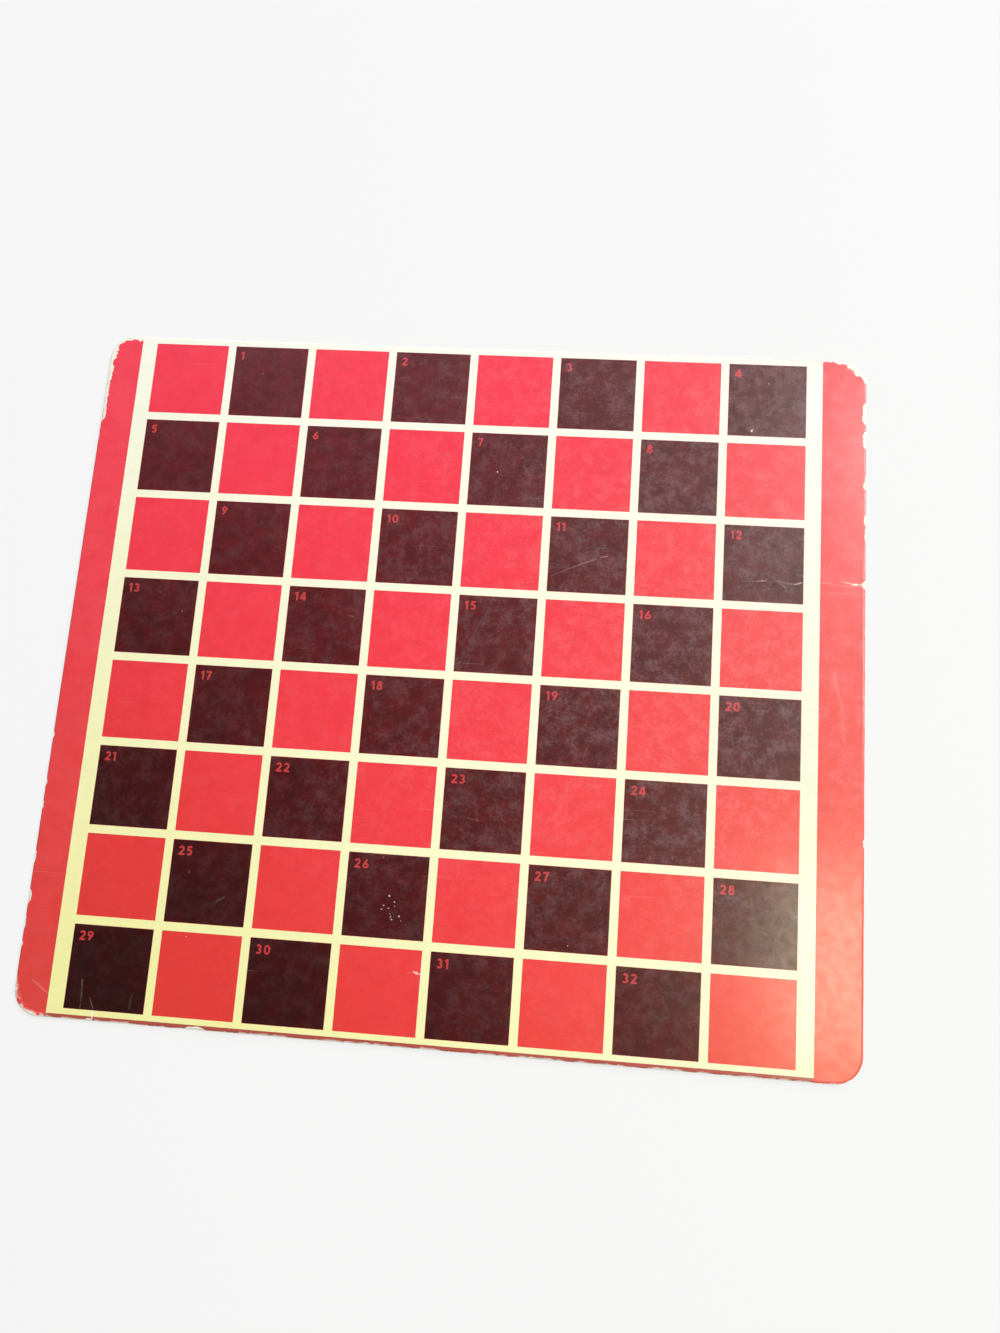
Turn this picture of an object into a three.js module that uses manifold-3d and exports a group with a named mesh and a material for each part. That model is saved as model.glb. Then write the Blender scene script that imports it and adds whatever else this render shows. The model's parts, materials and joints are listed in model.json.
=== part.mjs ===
// A game board die-cut from laminated pulp board, in millimetres, +Z up.
// A pulp-board core carries a printed sheet on each side. The upper face has a draughts grid in
// red, dark and cream; the lower face has the nine men's morris diagram in cream on red.
// The origin lies under the board's centre, on the plane that the board rests on. +X runs to the
// right of a player at the near edge, and +Y runs away from that player.

import * as THREE from 'three';
import { mergeVertices } from 'three/addons/utils/BufferGeometryUtils.js';
import Module from 'manifold-3d';

const wasm = await Module();
wasm.setup();

// Draughts grid
const SQUARES_PER_SIDE = 8;
const SQUARE_SIDE = 34.5;
const LINE_WIDTH = 3.6;
const SIDE_BAND = 7.1; // cream beyond the outer squares, left and right
const END_BAND = 2.4; // cream beyond the outer squares, near and far
const REGISTER_GAP = 0.1; // between dark ink and the cream line beside it

// Red margins on the flat of the face, outside the cream lattice, which runs to the far edge's roll
const LEFT_MARGIN = 14.3;
const RIGHT_MARGIN = 18.4;
const NEAR_MARGIN = 1.0;

// Laminated board
const CORE_THICKNESS = 2.2;
const FACE_THICKNESS = 0.2;
const BACK_THICKNESS = 0.2;
const INK_THICKNESS = 0.05;
const CORNER_RADIUS = 11.5;
const CORNER_STEPS = 12;

// Edge of the face, pressed down into a roll by the cutting die
const ROLL_WIDTH = 0.9;
const ROLL_DROP = 0.5;
const ROLL_STEPS = 4;

// Nine men's morris diagram
const MORRIS_RINGS = 3;
const MORRIS_MARGIN = 25.4; // from the near and far edges to the outer ring's line
const MORRIS_LINE = 3.6;
const MORRIS_SPOT = 12;
const SPOT_STEPS = 24;

// Sizes that follow from those above
const GRID_SIDE = SQUARES_PER_SIDE * SQUARE_SIDE + (SQUARES_PER_SIDE - 1) * LINE_WIDTH;
const LATTICE_WIDTH = GRID_SIDE + 2 * SIDE_BAND;
const LATTICE_DEPTH = GRID_SIDE + 2 * END_BAND;
const BOARD_WIDTH = LATTICE_WIDTH + LEFT_MARGIN + RIGHT_MARGIN + 2 * ROLL_WIDTH;
const BOARD_DEPTH = LATTICE_DEPTH + NEAR_MARGIN + 2 * ROLL_WIDTH;
const GRID_CENTRE = new THREE.Vector2(
  (LEFT_MARGIN - RIGHT_MARGIN) / 2,
  NEAR_MARGIN / 2,
);
const MORRIS_STEP = (BOARD_DEPTH / 2 - MORRIS_MARGIN) / MORRIS_RINGS;

// Heights of the layers, from the print on the back upwards
const BACK_UNDERSIDE = INK_THICKNESS;
const CORE_UNDERSIDE = BACK_UNDERSIDE + BACK_THICKNESS;
const FACE_UNDERSIDE = CORE_UNDERSIDE + CORE_THICKNESS;
const FACE_TOP = FACE_UNDERSIDE + FACE_THICKNESS;

const PULP_BOARD = new THREE.MeshStandardMaterial({ color: 0xc4b598, roughness: 0.95, metalness: 0 });
const RED_PRINT = new THREE.MeshStandardMaterial({ color: 0xe03a40, roughness: 0.5, metalness: 0 });
const DARK_PRINT = new THREE.MeshStandardMaterial({ color: 0x4b272b, roughness: 0.45, metalness: 0 });
const CREAM_PRINT = new THREE.MeshStandardMaterial({ color: 0xf5f0c0, roughness: 0.5, metalness: 0 });

/** One named piece of the board, lifted to its place in the stack of layers. */
function piece(name, geometry, material, height = 0) {
  const mesh = new THREE.Mesh(geometry, material);
  mesh.name = name;
  mesh.position.z = height;
  return mesh;
}

/** The board's outline, drawn in from the cut line by an inset, as one ring of points at a height. */
function boardRing(inset, height) {
  const radius = CORNER_RADIUS - inset;
  const reachX = BOARD_WIDTH / 2 - CORNER_RADIUS;
  const reachY = BOARD_DEPTH / 2 - CORNER_RADIUS;
  const corners = [[1, 1], [-1, 1], [-1, -1], [1, -1]];
  return corners.flatMap(([sideX, sideY], quarter) =>
    Array.from({ length: CORNER_STEPS + 1 }, (_, step) => {
      const angle = (quarter + step / CORNER_STEPS) * Math.PI / 2;
      return new THREE.Vector3(
        sideX * reachX + radius * Math.cos(angle),
        sideY * reachY + radius * Math.sin(angle),
        height,
      );
    }),
  );
}

/** The rings of a rolled edge, from the cut line up and in to the flat at a height. */
function rollRings(flatHeight) {
  return Array.from({ length: ROLL_STEPS + 1 }, (_, step) => {
    const toCutLine = 1 - step / ROLL_STEPS;
    return boardRing(ROLL_WIDTH * (1 - toCutLine), flatHeight - ROLL_DROP * toCutLine ** 2);
  });
}

/** A closed solid through rings of equal length, capped flat at the first ring and the last. */
function loft(rings) {
  const count = rings[0].length;
  const lastRing = (rings.length - 1) * count;
  const index = [];
  for (let start = 0; start < lastRing; start += count) {
    for (let i = 0; i < count; i += 1) {
      const here = start + i;
      const next = start + (i + 1) % count;
      index.push(here, next, next + count, here, next + count, here + count);
    }
  }
  for (let i = 1; i < count - 1; i += 1) {
    index.push(0, i + 1, i);
    index.push(lastRing, lastRing + i, lastRing + i + 1);
  }
  const geometry = new THREE.BufferGeometry().setFromPoints(rings.flat());
  geometry.setIndex(index);
  geometry.computeVertexNormals();
  return geometry;
}

/** A rectangle about a centre, as the outline of a shape or of a window in one. */
function rectangle(Outline, centre, width, depth) {
  const outline = new Outline();
  outline.moveTo(centre.x - width / 2, centre.y - depth / 2);
  outline.lineTo(centre.x + width / 2, centre.y - depth / 2);
  outline.lineTo(centre.x + width / 2, centre.y + depth / 2);
  outline.lineTo(centre.x - width / 2, centre.y + depth / 2);
  outline.closePath();
  return outline;
}

/** A flat film of ink with the outline of a shape. */
function inkFilm(shape) {
  return new THREE.ExtrudeGeometry(shape, { depth: INK_THICKNESS, bevelEnabled: false });
}

/** The middle of a square, counted in columns from the left and rows from the far edge. */
function squareCentre(column, row) {
  const pitch = SQUARE_SIDE + LINE_WIDTH;
  const middle = (SQUARES_PER_SIDE - 1) / 2;
  return new THREE.Vector2(
    GRID_CENTRE.x + (column - middle) * pitch,
    GRID_CENTRE.y + (middle - row) * pitch,
  );
}

/** Calls a maker with the column and row of every square of the grid, far row first. */
function overSquares(make) {
  for (let row = 0; row < SQUARES_PER_SIDE; row += 1) {
    for (let column = 0; column < SQUARES_PER_SIDE; column += 1) {
      make(column, row);
    }
  }
}

/** A geometry as a solid that can be joined to others. */
function solidOf(geometry) {
  geometry.deleteAttribute('normal');
  geometry.deleteAttribute('uv');
  const welded = mergeVertices(geometry);
  return new wasm.Manifold(new wasm.Mesh({
    numProp: 3,
    vertProperties: new Float32Array(welded.attributes.position.array),
    triVerts: new Uint32Array(welded.index.array),
  }));
}

/** A joined solid as a geometry. */
function geometryOf(solid) {
  const mesh = solid.getMesh();
  const geometry = new THREE.BufferGeometry();
  geometry.setAttribute('position', new THREE.BufferAttribute(mesh.vertProperties, mesh.numProp));
  geometry.setIndex(new THREE.BufferAttribute(mesh.triVerts, 1));
  geometry.computeVertexNormals();
  return geometry;
}

/** The pulp board between the sheets, square at its back edge and rolled at its face edge. */
function coreBoard() {
  const rings = [boardRing(0, CORE_UNDERSIDE), ...rollRings(FACE_UNDERSIDE)];
  return piece('core_board', loft(rings), PULP_BOARD);
}

/** The red sheet on the face, drawn over the core's roll and cut flush with it. */
function faceSheet() {
  const rings = [...rollRings(FACE_UNDERSIDE).reverse(), ...rollRings(FACE_TOP)];
  return piece('face_sheet', loft(rings), RED_PRINT);
}

/** The red sheet on the back, flat and cut flush with the core. */
function backSheet() {
  const rings = [boardRing(0, BACK_UNDERSIDE), boardRing(0, CORE_UNDERSIDE)];
  return piece('back_sheet', loft(rings), RED_PRINT);
}

/** A cutter that opens a window through the ink over one square. */
function squareWindow(column, row) {
  const centre = squareCentre(column, row);
  const cutter = new THREE.BoxGeometry(SQUARE_SIDE, SQUARE_SIDE, 2 * INK_THICKNESS);
  cutter.translate(centre.x, centre.y, INK_THICKNESS / 2);
  return cutter;
}

/** The cream lattice between and around the squares, with a window over each square. */
function creamGrid() {
  const plate = inkFilm(rectangle(THREE.Shape, GRID_CENTRE, LATTICE_WIDTH, LATTICE_DEPTH));
  let lattice = solidOf(plate);
  overSquares((column, row) => {
    lattice = lattice.subtract(solidOf(squareWindow(column, row)));
  });
  return piece('cream_grid', geometryOf(lattice), CREAM_PRINT, FACE_TOP);
}

/** The dark squares, which are the numbered ones that the men move on. */
function darkSquares() {
  const inkSide = SQUARE_SIDE - 2 * REGISTER_GAP;
  const squares = [];
  overSquares((column, row) => {
    if ((column + row) % 2 === 1) {
      const number = String(squares.length + 1).padStart(2, '0');
      const patch = rectangle(THREE.Shape, squareCentre(column, row), inkSide, inkSide);
      squares.push(piece(`dark_square_${number}`, inkFilm(patch), DARK_PRINT, FACE_TOP));
    }
  });
  return squares;
}

/** One square ring of the morris diagram, at a distance from the middle. */
function morrisRing(reach) {
  const middle = new THREE.Vector2();
  const outer = 2 * reach + MORRIS_LINE;
  const inner = 2 * reach - MORRIS_LINE;
  const ring = rectangle(THREE.Shape, middle, outer, outer);
  ring.holes.push(rectangle(THREE.Path, middle, inner, inner));
  return inkFilm(ring);
}

/** The line that joins the rings on one side of the morris diagram. */
function morrisCrossLine(sideX, sideY) {
  const length = (MORRIS_RINGS - 1) * MORRIS_STEP;
  const reach = (MORRIS_RINGS + 1) / 2 * MORRIS_STEP;
  const centre = new THREE.Vector2(sideX * reach, sideY * reach);
  const alongX = sideX === 0 ? MORRIS_LINE : length;
  const alongY = sideY === 0 ? MORRIS_LINE : length;
  return inkFilm(rectangle(THREE.Shape, centre, alongX, alongY));
}

/** One round spot where a man stands. */
function morrisSpot(x, y) {
  const spot = new THREE.CylinderGeometry(MORRIS_SPOT / 2, MORRIS_SPOT / 2, INK_THICKNESS, SPOT_STEPS);
  spot.rotateX(Math.PI / 2);
  spot.translate(x, y, INK_THICKNESS / 2);
  return spot;
}

/** The nine men's morris diagram: rings, cross lines and spots, printed as one film. */
function morrisLines() {
  const sides = [-1, 0, 1];
  const films = [];
  for (let ring = 1; ring <= MORRIS_RINGS; ring += 1) {
    films.push(morrisRing(ring * MORRIS_STEP));
  }
  for (const sideX of sides) {
    for (const sideY of sides) {
      if (sideX === 0 && sideY === 0) continue;
      if (sideX === 0 || sideY === 0) films.push(morrisCrossLine(sideX, sideY));
      for (let ring = 1; ring <= MORRIS_RINGS; ring += 1) {
        films.push(morrisSpot(sideX * ring * MORRIS_STEP, sideY * ring * MORRIS_STEP));
      }
    }
  }
  const joined = films.map(solidOf).reduce((whole, film) => whole.add(film));
  return piece('morris_lines', geometryOf(joined), CREAM_PRINT);
}

const lamination = new THREE.Group();
lamination.add(coreBoard(), faceSheet(), backSheet());

const facePrint = new THREE.Group();
facePrint.add(creamGrid(), ...darkSquares());

const backPrint = new THREE.Group();
backPrint.add(morrisLines());

const board = new THREE.Group();
board.add(lamination, facePrint, backPrint);

export default board;
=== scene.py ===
"""Dresses a two-sided game board: worn printed sheets on a pulp core, inks, numbers and wear marks."""

import json
import logging
import math
from collections.abc import Sequence
from dataclasses import dataclass, field
from enum import Enum

import bpy
from mathutils import Matrix, Quaternion, Vector, noise

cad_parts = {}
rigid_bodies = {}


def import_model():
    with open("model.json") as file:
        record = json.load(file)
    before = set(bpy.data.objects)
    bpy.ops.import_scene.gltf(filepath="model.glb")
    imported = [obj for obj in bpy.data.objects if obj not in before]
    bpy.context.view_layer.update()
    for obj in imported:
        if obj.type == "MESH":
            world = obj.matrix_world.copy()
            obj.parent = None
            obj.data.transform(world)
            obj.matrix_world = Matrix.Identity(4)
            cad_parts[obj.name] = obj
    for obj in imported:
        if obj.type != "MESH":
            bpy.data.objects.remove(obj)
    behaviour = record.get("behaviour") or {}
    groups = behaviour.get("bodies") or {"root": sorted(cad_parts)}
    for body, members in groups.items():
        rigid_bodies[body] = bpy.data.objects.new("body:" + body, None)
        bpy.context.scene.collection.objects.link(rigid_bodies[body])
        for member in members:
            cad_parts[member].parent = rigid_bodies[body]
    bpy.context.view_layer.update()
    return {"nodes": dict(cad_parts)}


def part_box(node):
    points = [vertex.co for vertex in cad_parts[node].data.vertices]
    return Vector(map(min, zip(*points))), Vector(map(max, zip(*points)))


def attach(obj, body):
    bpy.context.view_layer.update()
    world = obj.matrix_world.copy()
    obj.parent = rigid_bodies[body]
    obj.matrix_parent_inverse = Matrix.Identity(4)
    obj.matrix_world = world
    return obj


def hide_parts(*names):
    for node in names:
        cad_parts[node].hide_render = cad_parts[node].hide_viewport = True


LOG = logging.getLogger("game_board")
MM = 0.001
BODY = "root"

Colour = tuple[float, float, float]
Triple = tuple[float, float, float]
Socket = bpy.types.NodeSocket
Node = bpy.types.Node
Tree = bpy.types.NodeTree
Material = bpy.types.Material
Piece = bpy.types.Object
Inputs = dict[str | int, object]
Ring = list[Vector]
Path = list[tuple[float, float]]

VALUE = "NodeSocketFloat"
VECTOR = "NodeSocketVector"

# The sockets of a Mix node that mixes colours, by place.
MIX_SHARE = 0
MIX_BELOW = 6
MIX_ABOVE = 7
MIX_RESULT = 2

# The inputs of a Random Value node, by place: two for vectors and two for values.
RANDOM_LOW = 0
RANDOM_HIGH = 1
RANDOM_FLOAT_LOW = 2
RANDOM_FLOAT_HIGH = 3

BAR_CORNERS = 4
FRACTAL_FALLOFF = 0.9
FRACTAL_GAP = 2.1
FRACTAL_OCTAVES = 4


class Slot(Enum):
    """The record's material slots."""

    PULP = "pulp_board"
    RED = "red_print"
    DARK = "dark_print"
    CREAM = "cream_print"


class Side(Enum):
    """The two faces of the board."""

    FACE = 1
    BACK = -1


def linear(red: int, green: int, blue: int) -> Colour:
    """Turns a colour written in screen values into the linear values that a shader takes.

    Args:
        red: Screen red, 0 to 255.
        green: Screen green, 0 to 255.
        blue: Screen blue, 0 to 255.

    Returns:
        The three linear values.
    """
    def channel(value: int) -> float:
        """One channel in linear light."""
        share = value / 255
        return share / 12.92 if share <= 0.04045 else ((share + 0.055) / 1.055) ** 2.4

    return channel(red), channel(green), channel(blue)


@dataclass(frozen=True)
class BoardLayout:
    """Where the board's edges, layers and print lie, in metres, read from the CAD frame."""

    half_width: float
    half_depth: float
    back_low: float
    core_low: float
    face_low: float
    face_top: float
    film_top: float
    lattice_low: Vector
    lattice_high: Vector
    corner_radius: float = 11.5 * MM
    roll_width: float = 0.9 * MM
    roll_drop: float = 0.5 * MM

    @classmethod
    def from_frame(cls) -> "BoardLayout":
        """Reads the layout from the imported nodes.

        Returns:
            The layout of the board as packed.
        """
        core_low, core_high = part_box("core_board")
        back_low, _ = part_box("back_sheet")
        _, face_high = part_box("face_sheet")
        lattice_low, lattice_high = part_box("cream_grid")
        return cls(
            half_width=core_high.x,
            half_depth=core_high.y,
            back_low=back_low.z,
            core_low=core_low.z,
            face_low=core_high.z,
            face_top=face_high.z,
            film_top=lattice_high.z,
            lattice_low=lattice_low,
            lattice_high=lattice_high,
        )

    @property
    def grid_centre(self) -> Vector:
        """The middle of the draughts grid, on the printed plane."""
        middle = (self.lattice_low + self.lattice_high) / 2
        return Vector((middle.x, middle.y, self.film_top))

    @property
    def side_top(self) -> float:
        """The height where the upright cut edge meets the roll."""
        return self.face_low - self.roll_drop

    def drop(self, inset: float) -> float:
        """How far the rolled edge lies under the flat at a distance in from the cut line."""
        return self.roll_drop * max(0.0, 1 - inset / self.roll_width) ** 2


@dataclass(frozen=True)
class EdgePoint:
    """A point on the board's cut line, with the direction into the board."""

    x: float
    y: float
    inward_x: float
    inward_y: float

    def at(self, inset: float, height: float) -> Vector:
        """The place at an inset from the cut line and a height."""
        return Vector((self.x + self.inward_x * inset, self.y + self.inward_y * inset, height))


def cut_line(layout: BoardLayout, step: float) -> list[EdgePoint]:
    """Walks the rounded rectangle that the die cut, anticlockwise seen from above.

    Args:
        layout: The board's layout.
        step: About how far apart the points lie, in metres.

    Returns:
        The points of the cut line, the last one next to the first.
    """
    radius = layout.corner_radius
    reach_x = layout.half_width - radius
    reach_y = layout.half_depth - radius
    corners = ((1, 1), (-1, 1), (-1, -1), (1, -1))
    arc_steps = round(radius * math.pi / 2 / step)
    points: list[EdgePoint] = []
    for quarter, (side_x, side_y) in enumerate(corners):
        for index in range(arc_steps + 1):
            angle = (quarter + index / arc_steps) * math.pi / 2
            out_x, out_y = math.cos(angle), math.sin(angle)
            x = side_x * reach_x + radius * out_x
            y = side_y * reach_y + radius * out_y
            points.append(EdgePoint(x, y, -out_x, -out_y))
        last = points[-1]
        next_x, next_y = corners[(quarter + 1) % len(corners)]
        run_x = next_x * reach_x - radius * last.inward_x - last.x
        run_y = next_y * reach_y - radius * last.inward_y - last.y
        straight_steps = round(math.hypot(run_x, run_y) / step)
        for index in range(1, straight_steps):
            x = last.x + run_x * index / straight_steps
            y = last.y + run_y * index / straight_steps
            points.append(EdgePoint(x, y, last.inward_x, last.inward_y))
    return points


@dataclass(frozen=True)
class Chip:
    """A stretch of edge where the sheet has torn away, in millimetres from the board's centre."""

    x: float
    y: float
    reach: float
    depth: float
    steepness: float = 2.2
    least: float = 0.35

    def bite(self, point: EdgePoint, ragged: float) -> float:
        """How deep the tear is at a point of the cut line.

        Args:
            point: The point of the cut line.
            ragged: A value from 0 to 1 that makes the tear uneven.

        Returns:
            The depth in metres, zero away from the tear.
        """
        away = math.hypot(point.x / MM - self.x, point.y / MM - self.y) / self.reach
        if away >= 1:
            return 0.0
        rise = min(1.0, self.steepness * (1 - away))
        return self.depth * MM * rise * (self.least + (1 - self.least) * ragged)


def fractal(x: float, y: float, scale: float, seed: float) -> float:
    """Smooth noise from 0 to 1 at a place on the board.

    Args:
        x: Place along X in metres.
        y: Place along Y in metres.
        scale: Features per metre.
        seed: Shifts the pattern.

    Returns:
        The noise value.
    """
    spot = Vector((x * scale, y * scale, seed))
    value = noise.fractal(spot, FRACTAL_FALLOFF, FRACTAL_GAP, FRACTAL_OCTAVES)
    return min(1.0, max(0.0, 0.5 + 0.5 * value))


def plain_piece(name: str, points: Sequence[Vector], faces: Sequence[Sequence[int]]) -> Piece:
    """Makes an object at the origin from points and faces.

    Args:
        name: The piece's name.
        points: The points, in metres.
        faces: The places of each face's points.

    Returns:
        The new object.
    """
    mesh = bpy.data.meshes.new(name)
    mesh.from_pydata(points, [], faces)
    mesh.validate()
    mesh.update()
    piece = bpy.data.objects.new(name, mesh)
    bpy.context.scene.collection.objects.link(piece)
    return piece


def lofted(name: str, rings: Sequence[Ring], values: Sequence[Sequence[float]] | None = None) -> Piece:
    """Makes a closed mesh through rings of equal length, capped at the first ring and the last.

    Args:
        name: The piece's name.
        rings: The rings, each anticlockwise seen from above.
        values: How torn the paper is at each point of each ring, from 0 to 1.

    Returns:
        The new object, at the origin.
    """
    count = len(rings[0])
    faces: list[Sequence[int]] = []
    for start in range(0, (len(rings) - 1) * count, count):
        for index in range(count):
            here = start + index
            after = start + (index + 1) % count
            faces.append((here, after, after + count, here + count))
    faces.append(tuple(reversed(range(count))))
    last = (len(rings) - 1) * count
    faces.append(tuple(range(last, last + count)))
    piece = plain_piece(name, [point for ring in rings for point in ring], faces)
    if values is not None:
        torn = piece.data.attributes.new("torn", "FLOAT", "POINT")
        torn.data.foreach_set("value", [value for ring in values for value in ring])
    return piece


class Graph:
    """A node tree under construction, with short calls for the nodes that the finishes use."""

    def __init__(self, tree: Tree) -> None:
        """Starts on a tree, which keeps the nodes that it has."""
        self.tree = tree

    def feed(self, socket: Socket, value: object) -> None:
        """Links an input to another node's output, or sets it to a plain value."""
        if isinstance(value, Socket):
            self.tree.links.new(value, socket)
        else:
            socket.default_value = value

    def add(self, kind: str, inputs: Inputs | None = None, **settings: object) -> Node:
        """Adds a node.

        Args:
            kind: The node's type.
            inputs: Sockets to link or values to set, by name or place.
            settings: The node's own settings.

        Returns:
            The new node.
        """
        node = self.tree.nodes.new(kind)
        for key, value in settings.items():
            setattr(node, key, value)
        for key, value in (inputs or {}).items():
            self.feed(node.inputs[key], value)
        return node

    def math(self, operation: str, first: object, second: object = 0.0, clamp: bool = False) -> Socket:
        """Adds a Math node and gives its result."""
        node = self.add("ShaderNodeMath", {0: first, 1: second}, operation=operation, use_clamp=clamp)
        return node.outputs[0]

    def ramp(self, value: object, low: float, high: float, start: float = 0.0, end: float = 1.0) -> Socket:
        """Maps a value smoothly from one range to another.

        Args:
            value: The value to map.
            low: Where the result starts.
            high: Where the result ends.
            start: The result at low.
            end: The result at high.

        Returns:
            The mapped value.
        """
        inputs = {"Value": value, "From Min": low, "From Max": high, "To Min": start, "To Max": end}
        return self.add("ShaderNodeMapRange", inputs, interpolation_type="SMOOTHSTEP").outputs["Result"]

    def most(self, masks: Sequence[Socket]) -> Socket:
        """Joins masks, keeping the strongest at each place.

        Args:
            masks: The masks to join.

        Returns:
            The joined mask.
        """
        joined = masks[0]
        for mask in masks[1:]:
            joined = self.math("MAXIMUM", joined, mask)
        return joined

    def blend(self, share: object, below: object, above: object) -> Socket:
        """Mixes two colours by a share.

        Args:
            share: How much of the colour above shows.
            below: The colour, or its socket, where the share is 0.
            above: The colour, or its socket, where the share is 1.

        Returns:
            The mixed colour.
        """
        node = self.add("ShaderNodeMix", data_type="RGBA")
        for key, value in ((MIX_SHARE, share), (MIX_BELOW, below), (MIX_ABOVE, above)):
            self.feed(node.inputs[key], (*value, 1.0) if isinstance(value, tuple) else value)
        return node.outputs[MIX_RESULT]

    def vector(self, operation: str, first: object, second: object = (0.0, 0.0, 0.0)) -> Socket:
        """Adds a Vector Math node and gives its vector."""
        return self.add("ShaderNodeVectorMath", {0: first, 1: second}, operation=operation).outputs[0]

    def scaled(self, vector: object, share: object) -> Socket:
        """Multiplies a vector or a colour by a value."""
        return self.add("ShaderNodeVectorMath", {0: vector, "Scale": share}, operation="SCALE").outputs[0]

    def dot(self, first: object, second: object) -> Socket:
        """Gives the dot product of two vectors."""
        node = self.add("ShaderNodeVectorMath", {0: first, 1: second}, operation="DOT_PRODUCT")
        return node.outputs["Value"]

    def distance(self, first: object, second: object) -> Socket:
        """Gives how far apart two places are."""
        node = self.add("ShaderNodeVectorMath", {0: first, 1: second}, operation="DISTANCE")
        return node.outputs["Value"]

    def axis(self, vector: Socket, name: str) -> Socket:
        """Gives a vector's part along X, Y or Z."""
        return self.add("ShaderNodeSeparateXYZ", {0: vector}).outputs[name]

    def flat(self, place: Socket) -> Socket:
        """Gives a place without its height."""
        return self.vector("MULTIPLY", place, (1.0, 1.0, 0.0))

    def bump(self, height: Socket, strength: float, depth: float) -> Socket:
        """Adds a Bump node and gives its normal."""
        inputs = {"Height": height, "Strength": strength, "Distance": depth}
        return self.add("ShaderNodeBump", inputs).outputs["Normal"]

    def group(self, tree: Tree, inputs: Inputs | None = None) -> Node:
        """Places a shader node group."""
        return self.add("ShaderNodeGroup", inputs, node_tree=tree)

    def place(self) -> Socket:
        """The place on the piece, in metres."""
        return self.add("ShaderNodeTexCoord").outputs["Object"]


@dataclass(frozen=True)
class Cut:
    """A smooth step between two levels of a value, from one result to another."""

    low: float
    high: float
    start: float = 0.0
    end: float = 1.0

    def of(self, graph: Graph, value: Socket) -> Socket:
        """Maps a value over the step."""
        return graph.ramp(value, self.low, self.high, self.start, self.end)


@dataclass(frozen=True)
class Speckle:
    """A cloudy pattern: its features per metre, its fineness and the step that makes it a mask."""

    scale: float
    detail: float
    roughness: float
    cut: Cut = Cut(0.0, 1.0)

    def value(self, graph: Graph, place: Socket) -> Socket:
        """Gives the pattern's value at a place."""
        return self._texture(graph, place).outputs["Fac"]

    def drift(self, graph: Graph, place: Socket) -> Socket:
        """Gives three values of the pattern at a place, as a colour."""
        return self._texture(graph, place).outputs["Color"]

    def mask(self, graph: Graph, place: Socket) -> Socket:
        """Gives the pattern as a mask."""
        return self.cut.of(graph, self.value(graph, place))

    def _texture(self, graph: Graph, place: Socket) -> Node:
        """Adds the pattern's noise texture."""
        inputs = {"Vector": place, "Scale": self.scale, "Detail": self.detail, "Roughness": self.roughness}
        return graph.add("ShaderNodeTexNoise", inputs)


def shader_group(
    name: str, inputs: Sequence[tuple[str, str]], outputs: Sequence[str]
) -> tuple[Tree, Graph, Node, Node]:
    """Starts a shader node group.

    Args:
        name: The group's name.
        inputs: The name and socket type of each input.
        outputs: The name of each output, all of them values.

    Returns:
        The tree, a graph on it, its input node and its output node.
    """
    tree = bpy.data.node_groups.new(name, "ShaderNodeTree")
    for label, kind in inputs:
        tree.interface.new_socket(name=label, in_out="INPUT", socket_type=kind)
    for label in outputs:
        tree.interface.new_socket(name=label, in_out="OUTPUT", socket_type=VALUE)
    graph = Graph(tree)
    return tree, graph, graph.add("NodeGroupInput"), graph.add("NodeGroupOutput")


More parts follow.
